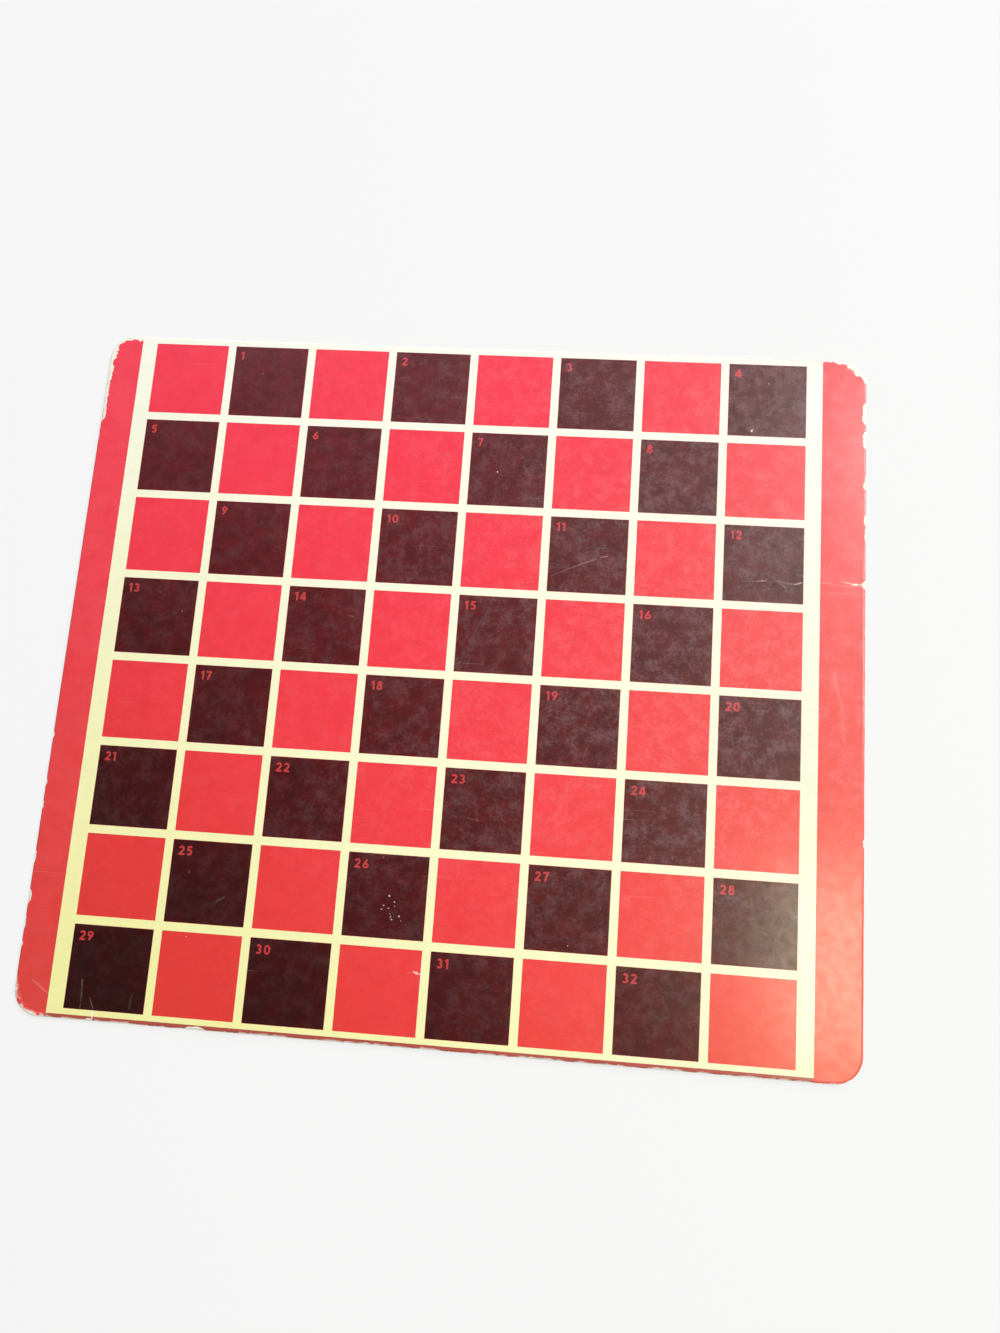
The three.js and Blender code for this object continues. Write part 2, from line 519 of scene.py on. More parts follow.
@dataclass
class EffectKit:
    """The shader effects that more than one finish uses, each built once."""

    layout: BoardLayout
    rub_patches: Speckle = Speckle(130.0, 5.0, 0.65, Cut(0.3, 0.72, 0.0, 2.0))
    least_reach: float = 0.01 * MM
    fine_tooth: Speckle = Speckle(1500.0, 4.0, 0.6)
    broad_tooth: Speckle = Speckle(240.0, 4.0, 0.6)
    fine_share: float = 0.45
    tooth_cut: Cut = Cut(0.35, 0.65)
    mottles: Speckle = Speckle(130.0, 6.0, 0.7, Cut(0.3, 0.7))
    bloom_patches: Speckle = Speckle(190.0, 9.0, 0.68)
    bloom_specks: Speckle = Speckle(800.0, 3.0, 0.6)
    patch_share: float = 0.75
    bloom_cut: Cut = Cut(0.42, 0.68)
    # Painted sheen: how much heavier the bloom grows toward the right edge and the far edge.
    bloom_across: Cut = Cut(0.15, 0.95, 0.25, 1.2)
    bloom_far: Cut = Cut(0.0, 0.4, 0.35, 1.0)
    hairs: Speckle = Speckle(1.0, 2.0, 0.5, Cut(0.73, 0.8))
    hair_stretch: Triple = (16.0, 1100.0, 1.0)
    hair_turns: tuple[tuple[float, float], ...] = ((0.35, 0.0), (-0.9, 3.1), (1.3, 7.7))
    specks_per_metre: float = 170.0
    speck_size: Cut = Cut(0.05, 0.1, 1.0, 0.0)
    speck_choice: Cut = Cut(0.9, 0.93)
    edge: Tree = field(init=False)
    grain: Tree = field(init=False)
    cloud: Tree = field(init=False)
    scuffs: Tree = field(init=False)
    crease: Tree = field(init=False)
    # The painted light gradient over the board, from the near left to the far right.
    fade: Tree = field(init=False)

    def __post_init__(self) -> None:
        """Builds every group."""
        self.fade = self._fade()
        self.edge = self._edge()
        self.grain = self._grain()
        self.cloud = self._cloud()
        self.scuffs = self._scuffs()
        self.crease = self._crease()

    def _edge(self) -> Tree:
        """Rubbing that follows the cut line.

        Returns:
            A group with the input Reach, in metres, and the output Rub, from 0 to 1.
        """
        tree, graph, given, result = shader_group("edge_rubbing", [("Reach", VALUE)], ["Rub"])
        place = graph.place()
        radius = self.layout.corner_radius
        past: list[Socket] = []
        for axis, half in (("X", self.layout.half_width), ("Y", self.layout.half_depth)):
            away = graph.math("ABSOLUTE", graph.axis(place, axis))
            past.append(graph.math("SUBTRACT", away, half - radius))
        squares = [graph.math("POWER", graph.math("MAXIMUM", value, 0.0), 2.0) for value in past]
        outside = graph.math("SQRT", graph.math("ADD", *squares))
        inside = graph.math("MINIMUM", graph.math("MAXIMUM", *past), 0.0)
        inset = graph.math("SUBTRACT", radius, graph.math("ADD", outside, inside))
        reach = graph.math("MULTIPLY", given.outputs["Reach"], self.rub_patches.mask(graph, place))
        near = graph.math("DIVIDE", inset, graph.math("MAXIMUM", reach, self.least_reach))
        graph.feed(result.inputs["Rub"], graph.math("SUBTRACT", 1.0, near, clamp=True))
        return tree

    def _grain(self) -> Tree:
        """Paper tooth under the varnish, and mottled ink.

        Returns:
            A group with the outputs Height, Tooth and Mottle, from 0 to 1.
        """
        tree, graph, _, result = shader_group("paper_grain", [], ["Height", "Tooth", "Mottle"])
        place = graph.place()
        fine = graph.math("MULTIPLY", self.fine_tooth.value(graph, place), self.fine_share)
        broad = graph.math("MULTIPLY", self.broad_tooth.value(graph, place), 1 - self.fine_share)
        height = graph.math("ADD", fine, broad)
        graph.feed(result.inputs["Height"], height)
        graph.feed(result.inputs["Tooth"], self.tooth_cut.of(graph, height))
        graph.feed(result.inputs["Mottle"], self.mottles.mask(graph, place))
        return tree

    def _cloud(self) -> Tree:
        """Cloudy bloom in the varnish, made heavier toward the far right edge as painted sheen.

        Returns:
            A group with the output Cloud, from 0 up.
        """
        tree, graph, _, result = shader_group("varnish_bloom_and_sheen", [], ["Cloud"])
        place = graph.place()
        patches = graph.math("MULTIPLY", self.bloom_patches.value(graph, place), self.patch_share)
        specks = graph.math("MULTIPLY", self.bloom_specks.value(graph, place), 1 - self.patch_share)
        cloud = self.bloom_cut.of(graph, graph.math("ADD", patches, specks))
        # Painted sheen: the bloom grows toward the far right.
        light = graph.group(self.fade).outputs
        across = self.bloom_across.of(graph, light["Across"])
        painted_sheen_weight = graph.math("MULTIPLY", across, self.bloom_far.of(graph, light["Far"]))
        graph.feed(result.inputs["Cloud"], graph.math("MULTIPLY", cloud, painted_sheen_weight))
        return tree

    def _scuffs(self) -> Tree:
        """Hair scratches and small specks from handling.

        Returns:
            A group with the outputs Scratch and Speck, from 0 to 1.
        """
        tree, graph, _, result = shader_group("handling_marks", [], ["Scratch", "Speck"])
        place = graph.place()
        scratches: list[Socket] = []
        for turn, shift in self.hair_turns:
            inputs = {
                "Vector": place,
                "Location": (shift, shift, shift),
                "Rotation": (0.0, 0.0, turn),
                "Scale": self.hair_stretch,
            }
            turned = graph.add("ShaderNodeMapping", inputs).outputs[0]
            scratches.append(self.hairs.mask(graph, turned))
        graph.feed(result.inputs["Scratch"], graph.most(scratches))
        cells = graph.add("ShaderNodeTexVoronoi", {"Vector": place, "Scale": self.specks_per_metre}).outputs
        draw = graph.add("ShaderNodeSeparateColor", {0: cells["Color"]}).outputs[0]
        spots = self.speck_size.of(graph, cells["Distance"])
        chosen = self.speck_choice.of(graph, draw)
        graph.feed(result.inputs["Speck"], graph.math("MULTIPLY", spots, chosen))
        return tree

    def _crease(self) -> Tree:
        """A crease between two places on the board.

        Returns:
            A group with the output Mask, from 0 to 1.
        """
        inputs = [("Place", VECTOR), ("Start", VECTOR), ("End", VECTOR), ("Width", VALUE)]
        tree, graph, given, result = shader_group("crease_line", inputs, ["Mask"])
        along = graph.vector("SUBTRACT", given.outputs["End"], given.outputs["Start"])
        away = graph.vector("SUBTRACT", given.outputs["Place"], given.outputs["Start"])
        share = graph.math("DIVIDE", graph.dot(away, along), graph.dot(along, along), clamp=True)
        gap = graph.vector("SUBTRACT", away, graph.scaled(along, share))
        length = graph.math("SQRT", graph.dot(gap, gap))
        widths = graph.math("DIVIDE", length, given.outputs["Width"])
        graph.feed(result.inputs["Mask"], graph.math("SUBTRACT", 1.0, widths, clamp=True))
        return tree

    def _fade(self) -> Tree:
        """A painted light gradient, from shade at the near left corner to light at the far right one.

        Returns:
            A group with the outputs Across, from 0 at the left edge to 1 at the right one, Far, from 0 at the
            near edge to 1 at the far one, and Fade, halfway between the two.
        """
        tree, graph, _, result = shader_group("painted_light_gradient", [], ["Across", "Far", "Fade"])
        place = graph.place()
        halves = {"Across": ("X", self.layout.half_width), "Far": ("Y", self.layout.half_depth)}
        shares: list[Socket] = []
        for label, (axis, half) in halves.items():
            from_middle = graph.math("DIVIDE", graph.axis(place, axis), 2 * half)
            share = graph.math("ADD", from_middle, 0.5, clamp=True)
            graph.feed(result.inputs[label], share)
            shares.append(share)
        graph.feed(result.inputs["Fade"], graph.math("MULTIPLY", graph.math("ADD", *shares), 0.5))
        return tree


@dataclass(frozen=True)
class Crease:
    """A crease or long scratch in the print, in millimetres from the board's centre."""

    start: tuple[float, float]
    end: tuple[float, float]
    width: float
    strength: float

    def mask(self, graph: Graph, kit: EffectKit, place: Socket) -> Socket:
        """Places the crease in a material.

        Args:
            graph: The material's graph.
            kit: The shared effects.
            place: The place on the board, in metres, as the crease wanders.

        Returns:
            The crease's mask, from 0 to its strength.
        """
        start = Vector((self.start[0] * MM, self.start[1] * MM, 0.0))
        end = Vector((self.end[0] * MM, self.end[1] * MM, 0.0))
        inputs = {"Place": place, "Start": start, "End": end, "Width": self.width * MM}
        return graph.math("MULTIPLY", graph.group(kit.crease, inputs).outputs["Mask"], self.strength)


MARGIN_CREASES = (
    Crease((155.4, 50.2), (165.9, 51.3), 0.3, 0.3),
    Crease((165.9, 51.3), (169.6, 50.4), 0.35, 0.7),
    Crease((169.6, 50.4), (174.9, 50.2), 0.55, 1.4),
    Crease((160.0, 50.0), (174.0, 49.2), 0.3, 0.2),
    Crease((162.1, 10.5), (163.3, 4.1), 1.1, 0.09),
    Crease((163.3, 4.1), (165.1, -2.7), 1.1, 0.09),
    Crease((165.1, -2.7), (166.4, -19.1), 1.1, 0.09),
    Crease((-167.5, -139.9), (-160.2, -144.6), 0.6, 0.12),
    Crease((-139.8, -152.4), (-139.7, -154.4), 0.5, 1.2),
    Crease((-9.1, -125.1), (-6.6, -124.3), 0.35, 0.35),
    Crease((-6.6, -124.3), (-5.4, -124.6), 0.7, 1.3),
    Crease((-5.4, -124.6), (-2.8, -125.4), 0.4, 0.7),
)
DARK_CREASES = (
    Crease((122.0, 49.5), (128.3, 49.6), 0.4, 0.1),
    Crease((128.3, 49.6), (132.6, 50.2), 0.35, 0.3),
    Crease((137.3, 50.3), (140.6, 47.7), 0.5, 0.15),
    Crease((137.3, 50.3), (144.8, 49.1), 0.5, 0.12),
    Crease((144.8, 49.1), (147.9, 50.1), 0.4, 0.45),
    Crease((39.5, 47.4), (46.7, 51.1), 0.4, 0.08),
    Crease((46.7, 51.1), (58.6, 56.2), 0.4, 0.13),
    Crease((60.5, 57.0), (63.6, 57.8), 0.35, 0.22),
    Crease((-146.2, -137.9), (-145.4, -144.7), 0.4, 0.12),
    Crease((-145.4, -144.7), (-145.5, -149.5), 0.4, 0.09),
    Crease((-141.8, -145.4), (-139.9, -149.3), 0.4, 0.1),
    Crease((-124.1, -142.5), (-124.4, -148.0), 0.6, 0.04),
    Crease((-93.9, -102.7), (-89.8, -100.3), 0.6, 0.07),
    Crease((52.4, -25.6), (55.5, -28.4), 0.4, 0.08),
    Crease((10.9, -60.2), (15.2, -60.7), 0.4, 0.08),
    Crease((-49.3, 24.8), (-46.6, 24.1), 0.4, 0.09),
    Crease((23.9, 98.0), (27.3, 93.9), 0.7, 0.045),
)
CREAM_CREASES = (
    Crease((-140.2, -150.2), (-139.7, -153.8), 0.55, 1.6),
    Crease((148.0, 50.1), (155.4, 50.2), 0.35, 0.5),
)


@dataclass(frozen=True)
class RubbedSpot:
    """A stretch of edge where the print is rubbed off wider, in millimetres from the board's centre."""

    x: float
    y: float
    radius: float
    reach: float
    full_share: float = 0.4

    def extra(self, graph: Graph, flat: Socket) -> Socket:
        """Gives how much further in the rubbing reaches at a place.

        Args:
            graph: The material's graph.
            flat: The place on the board, without its height.

        Returns:
            The extra reach in metres.
        """
        away = graph.distance(flat, (self.x * MM, self.y * MM, 0.0))
        radius = self.radius * MM
        return graph.ramp(away, self.full_share * radius, radius, self.reach * MM, 0.0)


FACE_RUBS = (
    RubbedSpot(-171.0, -150.5, 16.0, 2.0),
    RubbedSpot(-175.0, 122.0, 40.0, 0.5),
)


def new_material(name: str) -> tuple[Material, Graph, Node]:
    """Starts a material on a Principled shader.

    Args:
        name: The material's name.

    Returns:
        The material, a graph on its nodes and its shader node.
    """
    material = bpy.data.materials.new(name)
    material.use_nodes = True
    graph = Graph(material.node_tree)
    return material, graph, material.node_tree.nodes["Principled BSDF"]


@dataclass(frozen=True)
class PulpBoardFinish:
    """Raw pulp board: tan fibres in plies, paler where the skin has torn off with the paper."""

    body: Colour = linear(190, 172, 140)
    ply: Colour = linear(148, 132, 106)
    skin: Colour = linear(240, 234, 222)
    plies: Speckle = Speckle(1.0, 4.0, 0.6, Cut(0.38, 0.66))
    ply_stretch: Triple = (90.0, 90.0, 3800.0)
    fibres: Speckle = Speckle(1900.0, 4.0, 0.7, Cut(0.55, 0.75, 0.0, 0.5))
    skin_patches: Speckle = Speckle(260.0, 5.0, 0.55, Cut(0.25, 0.5, 0.6, 1.0))
    skin_depth: float = 0.25 * MM
    roughness: float = 0.93
    sheen: float = 0.2
    relief: float = 0.6
    relief_depth: float = 0.06 * MM

    def build(self, kit: EffectKit) -> Material:
        """Makes the material.

        Args:
            kit: The shared effects.

        Returns:
            The material.
        """
        material, graph, shader = new_material("pulp_board")
        place = graph.place()
        layers = graph.add("ShaderNodeMapping", {"Vector": place, "Scale": self.ply_stretch}).outputs[0]
        plies = self.plies.mask(graph, layers)
        fibres = self.fibres.value(graph, place)
        body = graph.blend(plies, self.body, self.ply)
        flecked = graph.blend(self.fibres.cut.of(graph, fibres), body, self.skin)
        side_top = kit.layout.side_top
        skinned = graph.ramp(graph.axis(place, "Z"), side_top - self.skin_depth, side_top)
        patchy = graph.math("MULTIPLY", skinned, self.skin_patches.mask(graph, place))
        graph.feed(shader.inputs["Base Color"], graph.blend(patchy, flecked, self.skin))
        graph.feed(shader.inputs["Roughness"], self.roughness)
        graph.feed(shader.inputs["Specular IOR Level"], self.sheen)
        height = graph.math("ADD", plies, fibres)
        graph.feed(shader.inputs["Normal"], graph.bump(height, self.relief, self.relief_depth))
        return material


@dataclass(frozen=True)
class Ink:
    """A printing ink with painted light and shade: shaded toward the near left, lit toward the far right, a
    painted tone toward the right edge and a painted tint from the near edge to the far one.
    """

    fresh: Colour
    faded: Colour
    fade_start: float = 0.0
    fade_end: float = 1.0
    bleached: Colour | None = None
    bleach_start: float = 0.5
    bleach_end: float = 1.0
    near_tint: Colour = (1.0, 1.0, 1.0)
    far_tint: Colour = (1.0, 1.0, 1.0)

    def colour(self, graph: Graph, kit: EffectKit) -> Socket:
        """Gives the ink's colour over the board, with its painted light and shade.

        Args:
            graph: The material's graph.
            kit: The shared effects.

        Returns:
            The colour.
        """
        light = graph.group(kit.fade).outputs
        # Painted light and shade: from the ink's shaded tone at the near left to its lit tone at the far
        # right.
        lighting = graph.ramp(light["Fade"], self.fade_start, self.fade_end)
        lit_colour = graph.blend(lighting, self.fresh, self.faded)
        # Painted light: a further tone toward the right edge.
        if self.bleached is not None:
            toward_right = graph.ramp(light["Across"], self.bleach_start, self.bleach_end)
            lit_colour = graph.blend(toward_right, lit_colour, self.bleached)
        # Painted shade and light as a tint from the near edge to the far one.
        tint = graph.blend(light["Far"], self.near_tint, self.far_tint)
        return graph.vector("MULTIPLY", lit_colour, tint)


@dataclass(frozen=True)
class MarginPrint:
    """What lies round the grid: cream run off the far edge, painted shade on the near strip and lighter pink
    patches on the left margin.
    """

    bleed: Ink
    browned: Colour
    thumbed: Colour
    browned_share: float = 0.8
    thumbed_share: float = 0.14
    thumb_patches: Speckle = Speckle(90.0, 5.0, 0.65, Cut(0.3, 0.7, 0.4, 1.0))
    overlap: float = 0.05 * MM

    def lay(self, graph: Graph, kit: EffectKit, colour: Socket) -> Socket:
        """Lays the three on the sheet's own ink.

        Args:
            graph: The material's graph.
            kit: The shared effects.
            colour: The ink's colour.

        Returns:
            The colour of the print.
        """
        low, high = kit.layout.lattice_low, kit.layout.lattice_high
        place = graph.place()
        across, deep = graph.axis(place, "X"), graph.axis(place, "Y")
        beside = graph.math("LESS_THAN", across, low.x)
        short = graph.math("LESS_THAN", across, high.x)
        along = graph.math("MULTIPLY", graph.math("SUBTRACT", 1.0, beside), short)
        far = graph.math("GREATER_THAN", deep, high.y - self.overlap)
        colour = graph.blend(graph.math("MULTIPLY", far, along), colour, self.bleed.colour(graph, kit))
        # Painted shade on the near strip below the cream line.
        near = graph.math("MULTIPLY", graph.math("LESS_THAN", deep, low.y), self.browned_share)
        colour = graph.blend(graph.math("MULTIPLY", near, along), colour, self.browned)
        # Lighter pink patches on the left margin.
        marks = graph.math("MULTIPLY", beside, self.thumb_patches.mask(graph, place))
        return graph.blend(graph.math("MULTIPLY", marks, self.thumbed_share), colour, self.thumbed)


@dataclass(frozen=True)
class PrintFinish:
    """A varnished print on paper: an ink with painted light and shade, mottling, bloom with painted sheen,
    rubbing, scuffs and creases.
    """

    name: str
    ink: Ink
    bloom: Colour
    bloom_share: float
    roughness: float = 0.37
    dulling: float = 0.06
    bare_roughness: float = 0.35
    bare_depth: float = 1.2
    relief: float = 0.35
    relief_depth: float = 0.03 * MM
    sheen: float = 0.22
    gloss: float = 1.0
    sunk_share: float = 0.5
    gloss_roughness: float = 0.2
    mottling: float = 0.9
    rub_reach: float = 0.0
    near_rub_reach: float = 0.0
    rub_blend: float = 1.0 * MM
    rub_cut: Cut = Cut(0.2, 0.9)
    rubs: tuple[RubbedSpot, ...] = ()
    scuff_share: float = 0.08
    speck_share: float = 0.7
    torn: bool = False
    torn_cut: Cut = Cut(0.2, 0.7)
    margin: MarginPrint | None = None
    creases: tuple[Crease, ...] = ()
    crease_breaks: Speckle = Speckle(300.0, 3.0, 0.6, Cut(0.25, 0.55))
    crease_drift: Speckle = Speckle(170.0, 3.0, 0.5)
    wander: float = 0.9 * MM
    paper: Colour = linear(247, 240, 226)

    def build(self, kit: EffectKit) -> Material:
        """Makes the material.

        Args:
            kit: The shared effects.

        Returns:
            The material.
        """
        material, graph, shader = new_material(self.name)
        grain = graph.group(kit.grain).outputs
        cloud = graph.group(kit.cloud).outputs["Cloud"]
        # The ink brings its painted light gradient; the margin brings painted shade on the near strip.
        colour = self.ink.colour(graph, kit)
        if self.margin is not None:
            colour = self.margin.lay(graph, kit, colour)
        colour = graph.blend(grain["Mottle"], colour, graph.scaled(colour, self.mottling))
        # Bloom in the varnish, heavier toward the far right as painted sheen.
        colour = graph.blend(graph.math("MULTIPLY", cloud, self.bloom_share), colour, self.bloom)
        bare = graph.most(self._worn(graph, kit))
        graph.feed(shader.inputs["Base Color"], graph.blend(bare, colour, self.paper))
        graph.feed(shader.inputs["Specular IOR Level"], self.sheen)
        dulled = graph.math("MULTIPLY", graph.math("ADD", grain["Mottle"], cloud), self.dulling)
        rough = graph.math("ADD", dulled, graph.math("MULTIPLY", bare, self.bare_roughness))
        graph.feed(shader.inputs["Roughness"], graph.math("ADD", rough, self.roughness, clamp=True))
        raised = graph.math("SUBTRACT", grain["Height"], graph.math("MULTIPLY", bare, self.bare_depth))
        graph.feed(shader.inputs["Normal"], graph.bump(raised, self.relief, self.relief_depth))
        self._varnish(graph, shader, grain["Tooth"], bare)
        return material

    def _varnish(self, graph: Graph, shader: Node, tooth: Socket, bare: Socket) -> None:
        """Lays the varnish, which is patchy and is gone where the print is worn.

        Args:
            graph: The material's graph.
            shader: The material's shader.
            tooth: The paper's tooth, which the varnish sinks into.
            bare: Where the print is gone.
        """
        sunk = graph.math("MULTIPLY", tooth, self.gloss * self.sunk_share)
        patchy = graph.math("SUBTRACT", self.gloss, sunk)
        kept = graph.math("MULTIPLY", graph.math("SUBTRACT", 1.0, bare), patchy)
        graph.feed(shader.inputs["Coat Weight"], kept)
        graph.feed(shader.inputs["Coat Roughness"], self.gloss_roughness)

    def _worn(self, graph: Graph, kit: EffectKit) -> list[Socket]:
        """Gathers the masks of the places where the ink is gone.

        Args:
            graph: The material's graph.
            kit: The shared effects.

        Returns:
            The masks, from 0 to 1.
        """
        marks = graph.group(kit.scuffs).outputs
        worn = [
            graph.math("MULTIPLY", marks["Scratch"], self.scuff_share),
            graph.math("MULTIPLY", marks["Speck"], self.scuff_share * self.speck_share),
        ]
        if self.creases:
            worn.append(self._creased(graph, kit))
        if self.rub_reach:
            worn.append(self._rubbed(graph, kit))
        if self.torn:
            torn = graph.add("ShaderNodeAttribute", attribute_name="torn").outputs["Fac"]
            worn.append(self.torn_cut.of(graph, torn))
        return worn

    def _creased(self, graph: Graph, kit: EffectKit) -> Socket:
        """Draws the creases as broken lines that wander.

        Args:
            graph: The material's graph.
            kit: The shared effects.

        Returns:
            Their mask, from 0 to 1.
        """
        place = graph.place()
        drift = graph.vector("SUBTRACT", self.crease_drift.drift(graph, place), (0.5, 0.5, 0.5))
        moved = graph.vector("ADD", place, graph.scaled(drift, self.wander))
        flat = graph.flat(moved)
        lines = graph.most([crease.mask(graph, kit, flat) for crease in self.creases])
        return graph.math("MULTIPLY", lines, self.crease_breaks.mask(graph, place), clamp=True)

    def _rubbed(self, graph: Graph, kit: EffectKit) -> Socket:
        """Rubs the print off along the cut line, wider along the near edge and at the rubbed spots.

        Args:
            graph: The material's graph.
            kit: The shared effects.

        Returns:
            The mask of the rubbing, from 0 to 1.
        """
        flat = graph.flat(graph.place())
        near_line = kit.layout.lattice_low.y
        deep = graph.axis(flat, "Y")
        reach = graph.ramp(deep, near_line, near_line + self.rub_blend, self.near_rub_reach, self.rub_reach)
        for spot in self.rubs:
            reach = graph.math("ADD", reach, spot.extra(graph, flat))
        rub = graph.group(kit.edge, {"Reach": reach}).outputs["Rub"]
        return self.rub_cut.of(graph, rub)


# Each ink's tones and tints are painted light and shade: shaded at the near left, lit at the far right, with
# a painted tone toward the right edge.
RED = Ink(
    fresh=linear(226, 57, 55),
    faded=linear(247, 60, 72),
    fade_end=0.5,
    bleached=linear(230, 94, 77),
    bleach_start=0.44,
    bleach_end=1.3,
    near_tint=(0.965, 1.09, 0.82),
    far_tint=(0.975, 0.83, 1.23),
)
CREAM = Ink(
    fresh=linear(245, 241, 181),
    faded=linear(247, 247, 218),
    fade_start=0.05,
    fade_end=0.55,
    bleached=linear(231, 231, 212),
    bleach_start=0.6,
    bleach_end=1.05,
    near_tint=(1.0, 1.0, 0.83),
    far_tint=(1.0, 1.0, 1.15),
)
# The dark ink's near tint paints deep shade along the near edge.
DARK = Ink(
    fresh=linear(51, 4, 3),
    faded=linear(106, 22, 28),
    fade_end=0.6,
    bleached=linear(100, 63, 57),
    bleach_start=0.31,
    bleach_end=1.3,
    near_tint=(0.82, 0.2, 0.18),
    far_tint=(1.0, 1.27, 1.28),
)
# The numbers and the flaked paper also carry the painted light gradient.
NUMBER_INK = Ink(fresh=linear(192, 60, 58), faded=linear(206, 68, 74))
FLAKED_PAPER = Ink(fresh=linear(190, 178, 172), faded=linear(226, 216, 206))
# Bloom colours: cloudy bloom in the varnish, and painted sheen toward the far right; the pink one also
# colours the left margin patches.
PINK_BLOOM = linear(244, 124, 128)
BROWN_BLOOM = linear(126, 92, 97)
CREAM_BLOOM = linear(250, 249, 236)
PAPER_BLOOM = linear(240, 234, 224)
FACE_RED = PrintFinish(
    "face_red_print", RED, PINK_BLOOM, 0.38,
    mottling=0.94,
    rub_reach=0.2 * MM,
    near_rub_reach=0.9 * MM,
    rubs=FACE_RUBS,
    torn=True,
    # The near strip's colour is painted shade; the pink one makes the left margin patches.
    margin=MarginPrint(bleed=CREAM, browned=linear(158, 84, 72), thumbed=PINK_BLOOM),
    creases=MARGIN_CREASES,
)
BACK_RED = PrintFinish(
    "back_red_print", RED, PINK_BLOOM, 0.16,
    roughness=0.42,
    rub_reach=1.2 * MM,
    near_rub_reach=1.2 * MM,
    torn=True,
    scuff_share=0.2,
)
NUMBER_RED = PrintFinish("number_red_print", NUMBER_INK, PINK_BLOOM, 0.2)
DARK_BROWN = PrintFinish(
    "dark_square_print", DARK, BROWN_BLOOM, 0.66, mottling=0.6, scuff_share=0.1, creases=DARK_CREASES
)
CREAM_LINE = PrintFinish(
    "cream_line_print", CREAM, CREAM_BLOOM, 0.2, mottling=0.97, scuff_share=0.05, creases=CREAM_CREASES
)
BACK_CREAM = PrintFinish(
    "back_cream_print", CREAM, CREAM_BLOOM, 0.3, roughness=0.42, mottling=0.95, scuff_share=0.2
)
BARE_PAPER = PrintFinish("bare_paper", FLAKED_PAPER, PAPER_BLOOM, 0.3, roughness=0.7, gloss=0.2)


@dataclass
class PulpCore:
    """The pulp board between the sheets, with a cut edge that shows its plies."""

    layout: BoardLayout
    step: float = 0.7 * MM
    ply_count: int = 3
    ply_steps: int = 4
    groove_depth: float = 0.07 * MM
    groove_sharpness: int = 6
    fuzz: float = 0.06 * MM
    fuzz_scale: float = 700.0
    fuzz_layers: float = 900.0
    roll_steps: int = 5
    crush: float = 0.25 * MM
    crush_scale: float = 120.0
    crush_seed: float = 4.0

    def build(self) -> Piece:
        """Makes the core's mesh.

        Returns:
            The core.
        """
        layout = self.layout
        edge = cut_line(layout, self.step)
        levels = self.ply_count * self.ply_steps
        rings: list[Ring] = []
        for level in range(levels + 1):
            share = level / levels
            height = layout.core_low + (layout.side_top - layout.core_low) * share
            wave = abs(math.cos(math.pi * self.ply_count * share))
            groove = self.groove_depth * wave ** self.groove_sharpness
            rings.append([point.at(self._worn(point, height) + groove, height) for point in edge])
        for index in range(1, self.roll_steps + 1):
            inset = layout.roll_width * index / self.roll_steps
            height = layout.face_low - layout.drop(inset)
            rings.append([point.at(inset, height) for point in edge])
        return lofted("pulp_core", rings)

    def _worn(self, point: EdgePoint, height: float) -> float:
        """How far the cut edge is worn in at a place.

        Args:
            point: The point of the cut line.
            height: The height on the edge.

        Returns:
            The wear in metres.
        """
        fibre = fractal(point.x, point.y, self.fuzz_scale, height * self.fuzz_layers)
        corner = abs(point.inward_x * point.inward_y) * 2
        dent = fractal(point.x, point.y, self.crush_scale, self.crush_seed)
        return self.fuzz * fibre + self.crush * corner * dent


@dataclass
class PrintedSheet:
    """A printed paper sheet on one side of the board, torn and feathered along its edge."""

    layout: BoardLayout
    name: str
    side: Side
    chips: tuple[Chip, ...]
    seed: float
    step: float = 0.6 * MM
    fuzz: float = 0.12 * MM
    fuzz_scale: float = 900.0
    fuzz_seed: float = 5.0
    tear_scale: float = 560.0
    tear_rise: float = 0.3 * MM
    tear_width: float = 0.5
    feather: float = 0.14 * MM
    inner_steps: tuple[float, ...] = (0.0, 0.12, 0.28, 0.5, 0.9, 1.6)

    def build(self) -> Piece:
        """Makes the sheet's mesh.

        Returns:
            The sheet, with the attribute torn on its points.
        """
        edge = cut_line(self.layout, self.step)
        bites = [self._bite(point) for point in edge]
        glued: list[Ring] = []
        shown: list[Ring] = []
        shown_torn: list[list[float]] = []
        for extra in self.inner_steps:
            insets = [bite + extra * MM for bite in bites]
            tears = [self._tear(bite, extra) for bite in bites]
            glued.append([point.at(inset, self._glued(inset)) for point, inset in zip(edge, insets)])
            places = zip(edge, insets, tears)
            shown.append([point.at(inset, self._shown(inset, tear)) for point, inset, tear in places])
            shown_torn.append(tears)
        whole = [[0.0] * len(edge) for _ in glued]
        if self.side is Side.FACE:
            return lofted(self.name, [*reversed(glued), *shown], [*whole, *shown_torn])
        return lofted(self.name, [*reversed(shown), *glued], [*reversed(shown_torn), *whole])

    def _bite(self, point: EdgePoint) -> float:
        """How far the sheet has torn in from the cut line at a point."""
        ragged = fractal(point.x, point.y, self.tear_scale, self.seed)
        frayed = fractal(point.x, point.y, self.fuzz_scale, self.seed + self.fuzz_seed)
        tears = [chip.bite(point, ragged) for chip in self.chips]
        return self.fuzz * frayed + max(tears, default=0.0)

    def _tear(self, bite: float, extra: float) -> float:
        """How much of the print has torn off the paper at a distance in from the sheet's edge."""
        torn = min(1.0, max(0.0, (bite - 2 * self.fuzz) / self.tear_rise))
        return torn * max(0.0, 1 - extra / self.tear_width)

    def _glued(self, inset: float) -> float:
        """The height of the glued surface at an inset from the cut line."""
        if self.side is Side.FACE:
            return self.layout.face_low - self.layout.drop(inset)
        return self.layout.core_low

    def _shown(self, inset: float, tear: float) -> float:
        """The height of the printed surface at an inset from the cut line."""
        if self.side is Side.FACE:
            return self.layout.face_top - self.layout.drop(inset) - self.feather * tear
        return self.layout.back_low + self.feather * tear


